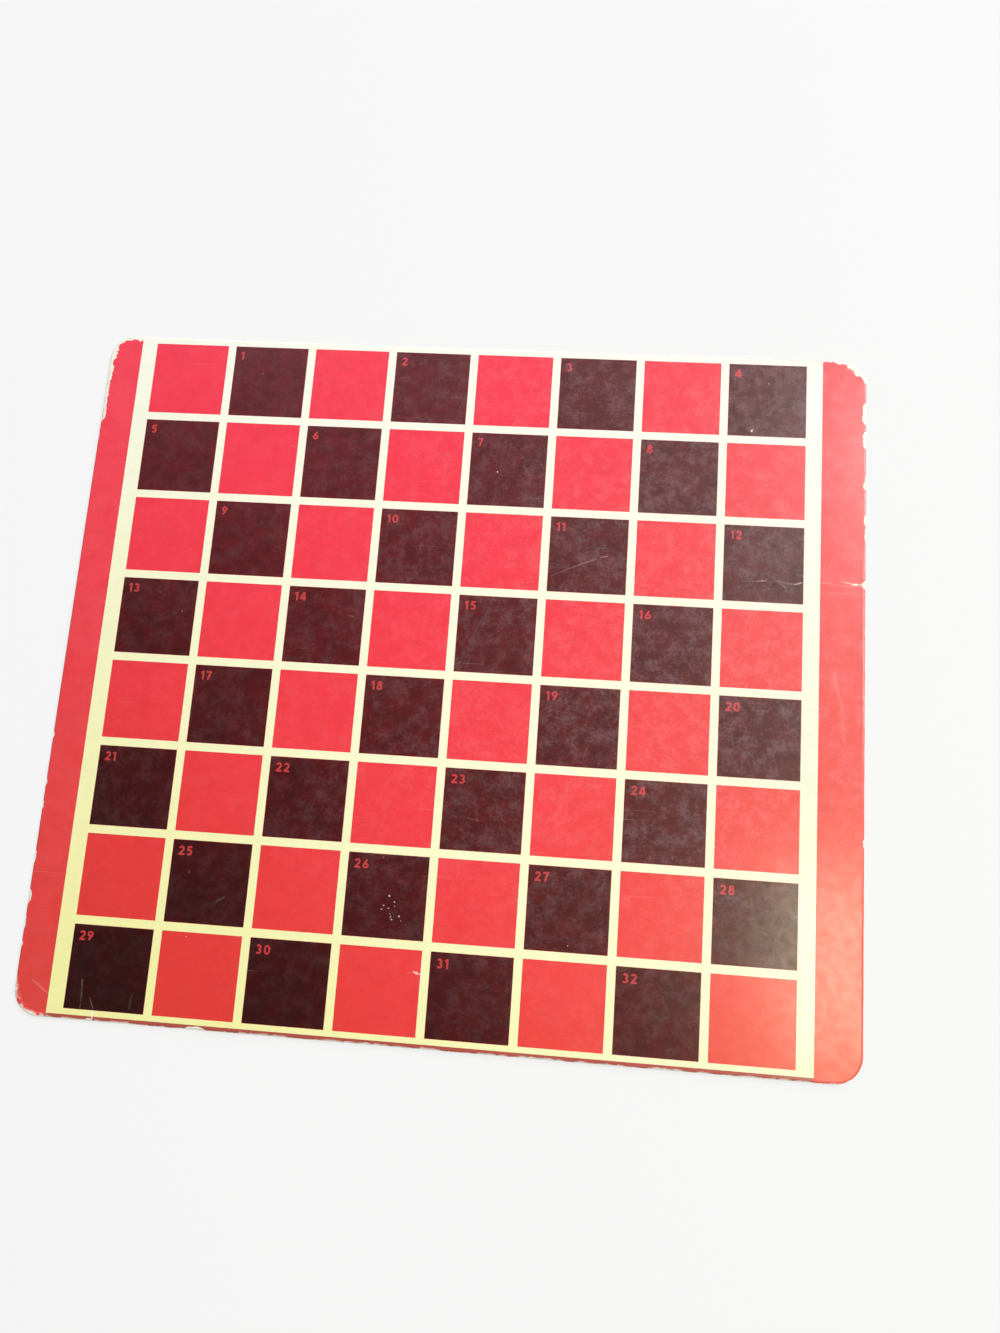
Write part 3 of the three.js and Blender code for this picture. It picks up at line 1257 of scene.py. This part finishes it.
FACE_CHIPS = (
    Chip(164.5, 154.4, 5.0, 1.9),
    Chip(158.0, 154.4, 4.0, 0.6),
    Chip(170.0, 151.0, 6.5, 3.7),
    Chip(174.4, 146.3, 3.0, 1.2),
    Chip(175.0, 129.2, 6.0, 2.0),
    Chip(175.0, 116.8, 4.6, 1.6),
    Chip(175.0, 97.5, 4.5, 0.5),
    Chip(175.0, 95.5, 2.2, 1.3),
    Chip(175.0, 79.8, 3.0, 0.7),
    Chip(175.0, 72.8, 4.5, 0.5),
    Chip(175.0, 50.4, 2.0, 1.6),
    Chip(175.0, -59.5, 2.0, 0.6),
    Chip(-163.0, 154.4, 7.0, 2.5),
    Chip(-170.8, 151.8, 4.0, 1.5),
    Chip(-174.6, 145.6, 5.5, 3.8),
    Chip(-175.0, 136.5, 7.0, 3.1),
    Chip(-175.0, 127.5, 7.0, 2.2),
    Chip(-175.0, 117.5, 7.5, 2.5),
    Chip(-175.0, -36.2, 1.6, 0.7),
    Chip(-175.0, -57.0, 1.8, 0.7),
    Chip(-175.0, -66.8, 2.0, 0.7),
    Chip(-175.0, -89.0, 3.6, 0.7),
    Chip(-175.0, -105.8, 3.4, 1.5),
    Chip(-175.0, -116.5, 3.4, 0.7),
    Chip(-175.0, -125.5, 1.4, 0.7),
    Chip(-141.0, -154.4, 2.0, 1.2),
    Chip(-95.6, -154.4, 5.0, 1.4),
    Chip(-66.0, -154.4, 9.0, 0.5),
    Chip(-25.0, -154.4, 12.0, 0.6),
    Chip(46.0, -154.4, 11.0, 0.6),
    Chip(98.0, -154.4, 9.0, 0.7),
    Chip(60.0, 154.4, 8.0, 0.5),
)
BACK_CHIPS = (
    Chip(173.0, 151.0, 8.0, 2.2),
    Chip(-173.0, 151.0, 8.0, 2.6),
    Chip(-173.0, -151.0, 9.0, 1.8),
    Chip(173.0, -151.0, 7.0, 1.4),
    Chip(175.0, 96.0, 6.0, 1.2),
    Chip(-175.0, 112.0, 7.0, 1.4),
    Chip(20.0, -154.4, 6.0, 0.9),
)


def arc(
    middle: tuple[float, float], radii: tuple[float, float], start: float, end: float, steps: int = 20
) -> Path:
    """Samples an elliptical arc.

    Args:
        middle: The ellipse's middle.
        radii: Its two half-axes.
        start: The angle of the first point, in degrees.
        end: The angle of the last point, in degrees.
        steps: How many pieces the arc has.

    Returns:
        The points of the arc.
    """
    points: Path = []
    for index in range(steps + 1):
        angle = math.radians(start + (end - start) * index / steps)
        points.append((middle[0] + radii[0] * math.cos(angle), middle[1] + radii[1] * math.sin(angle)))
    return points


@dataclass(frozen=True)
class Digit:
    """A digit drawn with a broad pen: its width and its strokes' middle lines, in shares of its height."""

    width: float
    strokes: tuple[Path, ...]


DIGITS = {
    "0": Digit(0.66, (arc((0.33, 0.5), (0.23, 0.4), 90, 450, 32),)),
    "1": Digit(0.36, ([(0.03, 0.74), (0.24, 0.92)], [(0.25, 0.0), (0.25, 1.0)])),
    "2": Digit(0.6, ([*arc((0.3, 0.69), (0.2, 0.21), 165, -40), (0.12, 0.08)], [(0.02, 0.1), (0.6, 0.1)])),
    "3": Digit(0.6, (arc((0.28, 0.71), (0.18, 0.19), 150, -90), arc((0.28, 0.3), (0.21, 0.2), 90, -150))),
    "4": Digit(0.66, ([(0.42, 0.96), (0.08, 0.3)], [(0.0, 0.27), (0.66, 0.27)], [(0.46, 0.0), (0.46, 1.0)])),
    "5": Digit(
        0.6,
        ([(0.56, 0.9), (0.14, 0.9)], [(0.2, 0.96), (0.15, 0.5)], arc((0.29, 0.34), (0.21, 0.24), 125, -140)),
    ),
    "6": Digit(0.64, ([(0.46, 0.95), (0.15, 0.42)], arc((0.33, 0.3), (0.21, 0.2), 0, 360, 28))),
    "7": Digit(0.58, ([(0.02, 0.9), (0.58, 0.9)], [(0.48, 0.88), (0.2, 0.0)])),
    "8": Digit(
        0.62,
        (arc((0.31, 0.73), (0.16, 0.17), 0, 360, 28), arc((0.31, 0.3), (0.21, 0.2), 0, 360, 28)),
    ),
    "9": Digit(0.64, ([(0.18, 0.05), (0.49, 0.58)], arc((0.31, 0.7), (0.21, 0.2), 0, 360, 28))),
}


@dataclass
class SquareNumbers:
    """The numbers of the dark squares, in the red of the sheet under the dark ink."""

    square_nodes: Sequence[str]
    cap_height: float = 3.95 * MM
    from_left: float = 2.6 * MM
    from_far: float = 2.5 * MM
    pen: float = 0.21
    stretch: float = 1.1
    gap: float = 0.2
    film: float = 0.012 * MM
    overlap_lift: float = 0.002 * MM
    widest_mitre: float = 1.3

    def build(self) -> Piece:
        """Makes all the numbers as one mesh.

        Returns:
            The numbers.
        """
        vertices: list[Vector] = []
        faces: list[tuple[int, ...]] = []
        for number, node in enumerate(self.square_nodes, start=1):
            low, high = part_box(node)
            foot = Vector((low.x + self.from_left, high.y - self.from_far - self.cap_height, high.z))
            for letter in str(number):
                digit = DIGITS[letter]
                for order, stroke in enumerate(digit.strokes):
                    self._draw(stroke, foot, self.film + order * self.overlap_lift, vertices, faces)
                foot.x += (digit.width * self.stretch + self.gap) * self.cap_height
        return plain_piece("square_numbers", vertices, faces)

    def _draw(
        self, stroke: Path, foot: Vector, rise: float, vertices: list[Vector], faces: list[tuple[int, ...]]
    ) -> None:
        """Sweeps the pen along a stroke and adds the flat bar that it leaves.

        Args:
            stroke: The stroke's middle line, in shares of the digit's height.
            foot: Where the digit's lower left corner lies.
            rise: How high the bar stands.
            vertices: The mesh's points so far, which grow.
            faces: The mesh's faces so far, which grow.
        """
        first = len(vertices)
        for index, (x, y) in enumerate(stroke):
            side = self._side(stroke, index)
            middle = foot + Vector((x * self.stretch, y, 0.0)) * self.cap_height
            reach = Vector((*side, 0.0)) * (self.pen / 2 * self.cap_height)
            up = Vector((0.0, 0.0, rise))
            vertices += [middle + reach, middle - reach, middle - reach + up, middle + reach + up]
        last = len(vertices) - BAR_CORNERS
        for start in range(first, last, BAR_CORNERS):
            for corner in range(BAR_CORNERS):
                here = start + corner
                after = start + (corner + 1) % BAR_CORNERS
                faces.append((here, here + BAR_CORNERS, after + BAR_CORNERS, after))
        faces.append(tuple(range(first, first + BAR_CORNERS)))
        faces.append(tuple(reversed(range(last, last + BAR_CORNERS))))

    def _side(self, stroke: Path, index: int) -> tuple[float, float]:
        """The direction to the left of the stroke at one of its points, stretched at a bend.

        Args:
            stroke: The stroke's middle line.
            index: Which of its points.

        Returns:
            The direction, as long as the mitre there.
        """
        lefts: list[Vector] = []
        for start, end in ((index - 1, index), (index, index + 1)):
            if start >= 0 and end < len(stroke):
                run = Vector(stroke[end]) - Vector(stroke[start])
                lefts.append(Vector((-run.y, run.x)).normalized())
        middle = sum(lefts, Vector((0.0, 0.0))).normalized()
        stretch = 1 / max(middle.dot(lefts[0]), 1 / self.widest_mitre)
        return middle.x * stretch, middle.y * stretch


@dataclass(frozen=True)
class Flake:
    """A place where the ink has flaked off, in millimetres from the board's centre."""

    x: float
    y: float
    size: float
    on_ground: bool = False


SEEN_FLAKES = (
    Flake(-19.6, -94.6, 0.9),
    Flake(-17.2, -96.9, 0.6),
    Flake(-21.6, -98.6, 0.9),
    Flake(-19.5, -99.6, 0.7),
    Flake(-22.4, -100.2, 0.5),
    Flake(-16.9, -98.6, 0.5),
    Flake(-18.7, -101.9, 0.5),
    Flake(-18.3, -103.0, 0.6),
    Flake(-17.9, -104.1, 0.8),
    Flake(-14.8, -102.6, 0.7),
    Flake(-13.9, -104.4, 0.4),
    Flake(124.8, 119.2, 1.2),
    Flake(12.4, 94.6, 0.7),
    Flake(55.9, -109.2, 0.55),
    Flake(131.8, 142.0, 0.4),
    Flake(-124.0, 22.5, 0.35),
    Flake(-104.0, -117.5, 0.5, on_ground=True),
)


@dataclass
class InkFlakes:
    """Small flakes of lost ink that show the paper, scattered by Geometry Nodes on marked places."""

    layout: BoardLayout
    flakes: Sequence[Flake] = SEEN_FLAKES
    film: float = 0.012 * MM
    unevenness: float = 0.08 * MM
    narrowest: float = 0.45
    corners: int = 9
    seed: int = 7

    def build(self, material: Material) -> Piece:
        """Makes the flakes.

        Args:
            material: The bare paper that they show.

        Returns:
            The flakes, as one mesh.
        """
        places = [Vector((flake.x * MM, flake.y * MM, self._level(flake))) for flake in self.flakes]
        holder = plain_piece("flake_places", places, [])
        sizes = holder.data.attributes.new("flake_size", "FLOAT", "POINT")
        sizes.data.foreach_set("value", [flake.size * MM for flake in self.flakes])
        modifier = holder.modifiers.new("flakes", "NODES")
        modifier.node_group = self._tree()
        values = {"Film": self.film, "Corners": self.corners, "Seed": self.seed, "Finish": material}
        for item in modifier.node_group.interface.items_tree:
            if item.in_out == "INPUT" and item.name in values:
                modifier[item.identifier] = values[item.name]
        scene_now = bpy.context.evaluated_depsgraph_get()
        made = bpy.data.meshes.new_from_object(holder.evaluated_get(scene_now))
        made.name = "ink_flakes"
        holder.modifiers.remove(modifier)
        bpy.data.objects.remove(holder)
        piece = bpy.data.objects.new("ink_flakes", made)
        bpy.context.scene.collection.objects.link(piece)
        return piece

    def _level(self, flake: Flake) -> float:
        """The height of the print that a flake lies on."""
        return self.layout.face_top if flake.on_ground else self.layout.film_top

    def _tree(self) -> Tree:
        """Builds the tree that sets an uneven flat flake on every point.

        Returns:
            The geometry node tree.
        """
        tree = bpy.data.node_groups.new("ink_flakes", "GeometryNodeTree")
        sockets = (
            ("Places", "NodeSocketGeometry"),
            ("Film", VALUE),
            ("Corners", "NodeSocketInt"),
            ("Seed", "NodeSocketInt"),
            ("Finish", "NodeSocketMaterial"),
        )
        for label, kind in sockets:
            tree.interface.new_socket(name=label, in_out="INPUT", socket_type=kind)
        tree.interface.new_socket(name="Flakes", in_out="OUTPUT", socket_type="NodeSocketGeometry")
        graph = Graph(tree)
        given = graph.add("NodeGroupInput").outputs
        result = graph.add("NodeGroupOutput")
        disc = graph.add(
            "GeometryNodeMeshCylinder",
            {"Vertices": given["Corners"], "Radius": 0.5, "Depth": given["Film"]},
            fill_type="NGON",
        )
        turns = {"Seed": given["Seed"], RANDOM_FLOAT_HIGH: 2 * math.pi}
        turn = graph.add("FunctionNodeRandomValue", turns, data_type="FLOAT")
        spin = graph.add("ShaderNodeCombineXYZ", {"Z": turn.outputs[1]})
        widths = {"Seed": given["Seed"], RANDOM_FLOAT_LOW: self.narrowest}
        stretch = graph.add("FunctionNodeRandomValue", widths, data_type="FLOAT")
        size = graph.add("GeometryNodeInputNamedAttribute", {"Name": "flake_size"}, data_type="FLOAT")
        narrow = graph.math("MULTIPLY", size.outputs[0], stretch.outputs[1])
        scale = graph.add("ShaderNodeCombineXYZ", {"X": size.outputs[0], "Y": narrow, "Z": 1.0})
        set_down = {
            "Points": given["Places"],
            "Instance": disc.outputs["Mesh"],
            "Rotation": spin.outputs[0],
            "Scale": scale.outputs[0],
        }
        placed = graph.add("GeometryNodeInstanceOnPoints", set_down)
        real = graph.add("GeometryNodeRealizeInstances", {0: placed.outputs[0]})
        shifts = {
            "Seed": given["Seed"],
            RANDOM_LOW: (-self.unevenness, -self.unevenness, 0.0),
            RANDOM_HIGH: (self.unevenness, self.unevenness, 0.0),
        }
        jitter = graph.add("FunctionNodeRandomValue", shifts, data_type="FLOAT_VECTOR")
        moved = {"Geometry": real.outputs[0], "Offset": jitter.outputs[0]}
        uneven = graph.add("GeometryNodeSetPosition", moved)
        finished = {"Geometry": uneven.outputs[0], "Material": given["Finish"]}
        dressed = graph.add("GeometryNodeSetMaterial", finished)
        graph.feed(result.inputs["Flakes"], dressed.outputs[0])
        return tree


@dataclass(frozen=True)
class Lamp:
    """A soft rectangular lamp: its place, aim and size in metres, its power in watts and its colour."""

    name: str
    place: Triple
    aim: Triple
    size: tuple[float, float]
    power: float
    colour: Colour
    spin_degrees: float = 0.0

    def hang(self) -> None:
        """Puts the lamp in the scene."""
        data = bpy.data.lights.new(self.name, "AREA")
        data.shape = "RECTANGLE"
        data.size, data.size_y = self.size
        data.energy = self.power
        data.color = self.colour
        lamp = bpy.data.objects.new(self.name, data)
        lamp.location = self.place
        way = Vector(self.aim) - Vector(self.place)
        spin = Quaternion((0.0, 0.0, 1.0), math.radians(self.spin_degrees))
        lamp.rotation_euler = (way.to_track_quat("-Z", "Y") @ spin).to_euler()
        bpy.context.scene.collection.objects.link(lamp)


BOARD_MIDDLE = (0.0, 0.0, 0.0)
GLARE_SPOT = (0.445, -0.182, 0.0)
LAMPS = (
    Lamp("key_lamp", (1.77, 1.12, 2.4), BOARD_MIDDLE, (1.45, 1.45), 90.0, (1.0, 0.99, 0.98)),
    Lamp("far_lamp", (-0.68, 3.07, 2.56), BOARD_MIDDLE, (2.5, 1.8), 46.0, (0.93, 0.99, 1.12)),
    Lamp("glare_lamp", (0.445, -0.182, 0.915), GLARE_SPOT, (0.23, 0.23), 1.95, (0.98, 1.0, 0.69), 6.0),
)


@dataclass
class Stage:
    """The pale floor, the soft lamps and the camera."""

    layout: BoardLayout
    floor_half: float = 15.0
    floor_tone: Colour = linear(232, 232, 232)
    ground_tone: Colour = linear(248, 248, 248)
    floor_roughness: float = 0.9
    floor_glow: float = 0.82
    glow_from: float = 0.45
    glow_to: float = 1.2
    sky_from: float = 0.25
    sky_to: float = 0.6
    sky_low: float = 0.6
    sky_high: float = 0.1
    camera_from_grid: Triple = (54.61, -76.88, 435.72)
    aim_from_grid: tuple[float, float] = (21.91, 5.15)
    heading_degrees: float = 4.037
    lens: float = 27.685
    sensor: float = 36.0
    clip_start: float = 0.01

    def build(self) -> None:
        """Makes the floor, the lamps, the world and the camera."""
        self._floor()
        self._world()
        for lamp in LAMPS:
            lamp.hang()
        self._camera()

    def _floor(self) -> None:
        """Makes the floor, which keeps its tone in the picture and takes the board's shadow."""
        half = self.floor_half
        corners = [Vector((x * half, y * half, 0.0)) for x, y in ((-1, -1), (1, -1), (1, 1), (-1, 1))]
        floor = plain_piece("floor", corners, [(0, 1, 2, 3)])
        material, graph, shader = new_material("floor")
        graph.feed(shader.inputs["Base Color"], (*self.floor_tone, 1.0))
        graph.feed(shader.inputs["Roughness"], self.floor_roughness)
        graph.feed(shader.inputs["Specular IOR Level"], 0.0)
        glow = graph.add("ShaderNodeEmission", {"Color": (*self.ground_tone, 1.0), "Strength": 1.0})
        ray = graph.add("ShaderNodeLightPath").outputs
        seen = graph.math("MAXIMUM", ray["Is Camera Ray"], ray["Is Glossy Ray"])
        away = graph.add("ShaderNodeVectorMath", {0: graph.place()}, operation="LENGTH").outputs["Value"]
        glow_share = graph.ramp(away, self.glow_from, self.glow_to, self.floor_glow, 1.0)
        share = graph.math("MULTIPLY", seen, glow_share)
        mixed = graph.add("ShaderNodeMixShader", {0: share, 1: shader.outputs[0], 2: glow.outputs[0]})
        surface = material.node_tree.nodes["Material Output"]
        graph.feed(surface.inputs["Surface"], mixed.outputs[0])
        floor.data.materials.append(material)

    def _world(self) -> None:
        """Makes the surrounding light, brighter low down, and the plain ground behind everything."""
        world = bpy.data.worlds.new("studio")
        world.use_nodes = True
        graph = Graph(world.node_tree)
        light = world.node_tree.nodes["Background"]
        graph.feed(light.inputs["Color"], (1.0, 1.0, 1.0, 1.0))
        way = graph.add("ShaderNodeTexCoord").outputs["Generated"]
        high = graph.axis(way, "Z")
        strength = graph.ramp(high, self.sky_from, self.sky_to, self.sky_low, self.sky_high)
        graph.feed(light.inputs["Strength"], strength)
        ground = graph.add("ShaderNodeBackground", {"Color": (*self.ground_tone, 1.0), "Strength": 1.0})
        seen = graph.add("ShaderNodeLightPath").outputs["Is Camera Ray"]
        mixed = graph.add("ShaderNodeMixShader", {0: seen, 1: light.outputs[0], 2: ground.outputs[0]})
        surface = world.node_tree.nodes["World Output"]
        graph.feed(surface.inputs["Surface"], mixed.outputs[0])
        bpy.context.scene.world = world

    def _camera(self) -> None:
        """Makes the camera at the photograph's station."""
        centre = self.layout.grid_centre
        station = centre + Vector(self.camera_from_grid) * MM
        aim = centre + Vector((*self.aim_from_grid, 0.0)) * MM
        forward = (aim - station).normalized()
        heading = math.radians(self.heading_degrees)
        hint = Vector((-math.sin(heading), math.cos(heading), 0.0))
        right = forward.cross(hint).normalized()
        up = right.cross(forward)
        data = bpy.data.cameras.new("camera")
        data.sensor_width = self.sensor
        data.lens = self.lens
        data.clip_start = self.clip_start
        camera = bpy.data.objects.new("camera", data)
        turned = Matrix((right, up, -forward)).transposed().to_4x4()
        camera.matrix_world = Matrix.Translation(station) @ turned
        bpy.context.scene.collection.objects.link(camera)
        bpy.context.scene.camera = camera


def dress(piece: Piece, material: Material, replaced: Sequence[str] = ()) -> None:
    """Gives a new piece its material, body and slot, and the nodes that it stands for.

    Args:
        piece: The piece.
        material: Its material.
        replaced: The CAD nodes that it stands for.
    """
    piece.data.materials.clear()
    piece.data.materials.append(material)
    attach(piece, BODY)
    if replaced:
        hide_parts(*replaced)
    LOG.info("%s: %d faces", piece.name, len(piece.data.polygons))


def dress_node(node: Piece, material: Material) -> None:
    """Gives a CAD node its finish."""
    if not node.material_slots:
        node.data.materials.append(material)
    for slot in node.material_slots:
        slot.material = material
    LOG.info("%s dressed", node.name)


def main() -> None:
    """Builds the board's pieces in order, dresses them and sets the stage."""
    logging.basicConfig(level=logging.INFO, format="%(name)s: %(message)s")
    bpy.context.scene.view_settings.view_transform = "Standard"
    for spare in list(bpy.data.objects):
        bpy.data.objects.remove(spare)
    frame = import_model()
    nodes = frame["nodes"]
    layout = BoardLayout.from_frame()
    kit = EffectKit(layout)
    Stage(layout).build()

    dress(PulpCore(layout).build(), PulpBoardFinish().build(kit), ["core_board"])
    face = PrintedSheet(layout, "face_sheet_worn", Side.FACE, FACE_CHIPS, seed=2.0)
    dress(face.build(), FACE_RED.build(kit), ["face_sheet"])
    back = PrintedSheet(layout, "back_sheet_worn", Side.BACK, BACK_CHIPS, seed=11.0)
    dress(back.build(), BACK_RED.build(kit), ["back_sheet"])

    squares = sorted(name for name in nodes if name.startswith("dark_square_"))
    dark = DARK_BROWN.build(kit)
    for name in squares:
        dress_node(nodes[name], dark)
    dress_node(nodes["cream_grid"], CREAM_LINE.build(kit))
    dress_node(nodes["morris_lines"], BACK_CREAM.build(kit))

    dress(SquareNumbers(squares).build(), NUMBER_RED.build(kit))
    bare = BARE_PAPER.build(kit)
    dress(InkFlakes(layout).build(bare), bare)


if __name__ == "__main__":
    main()
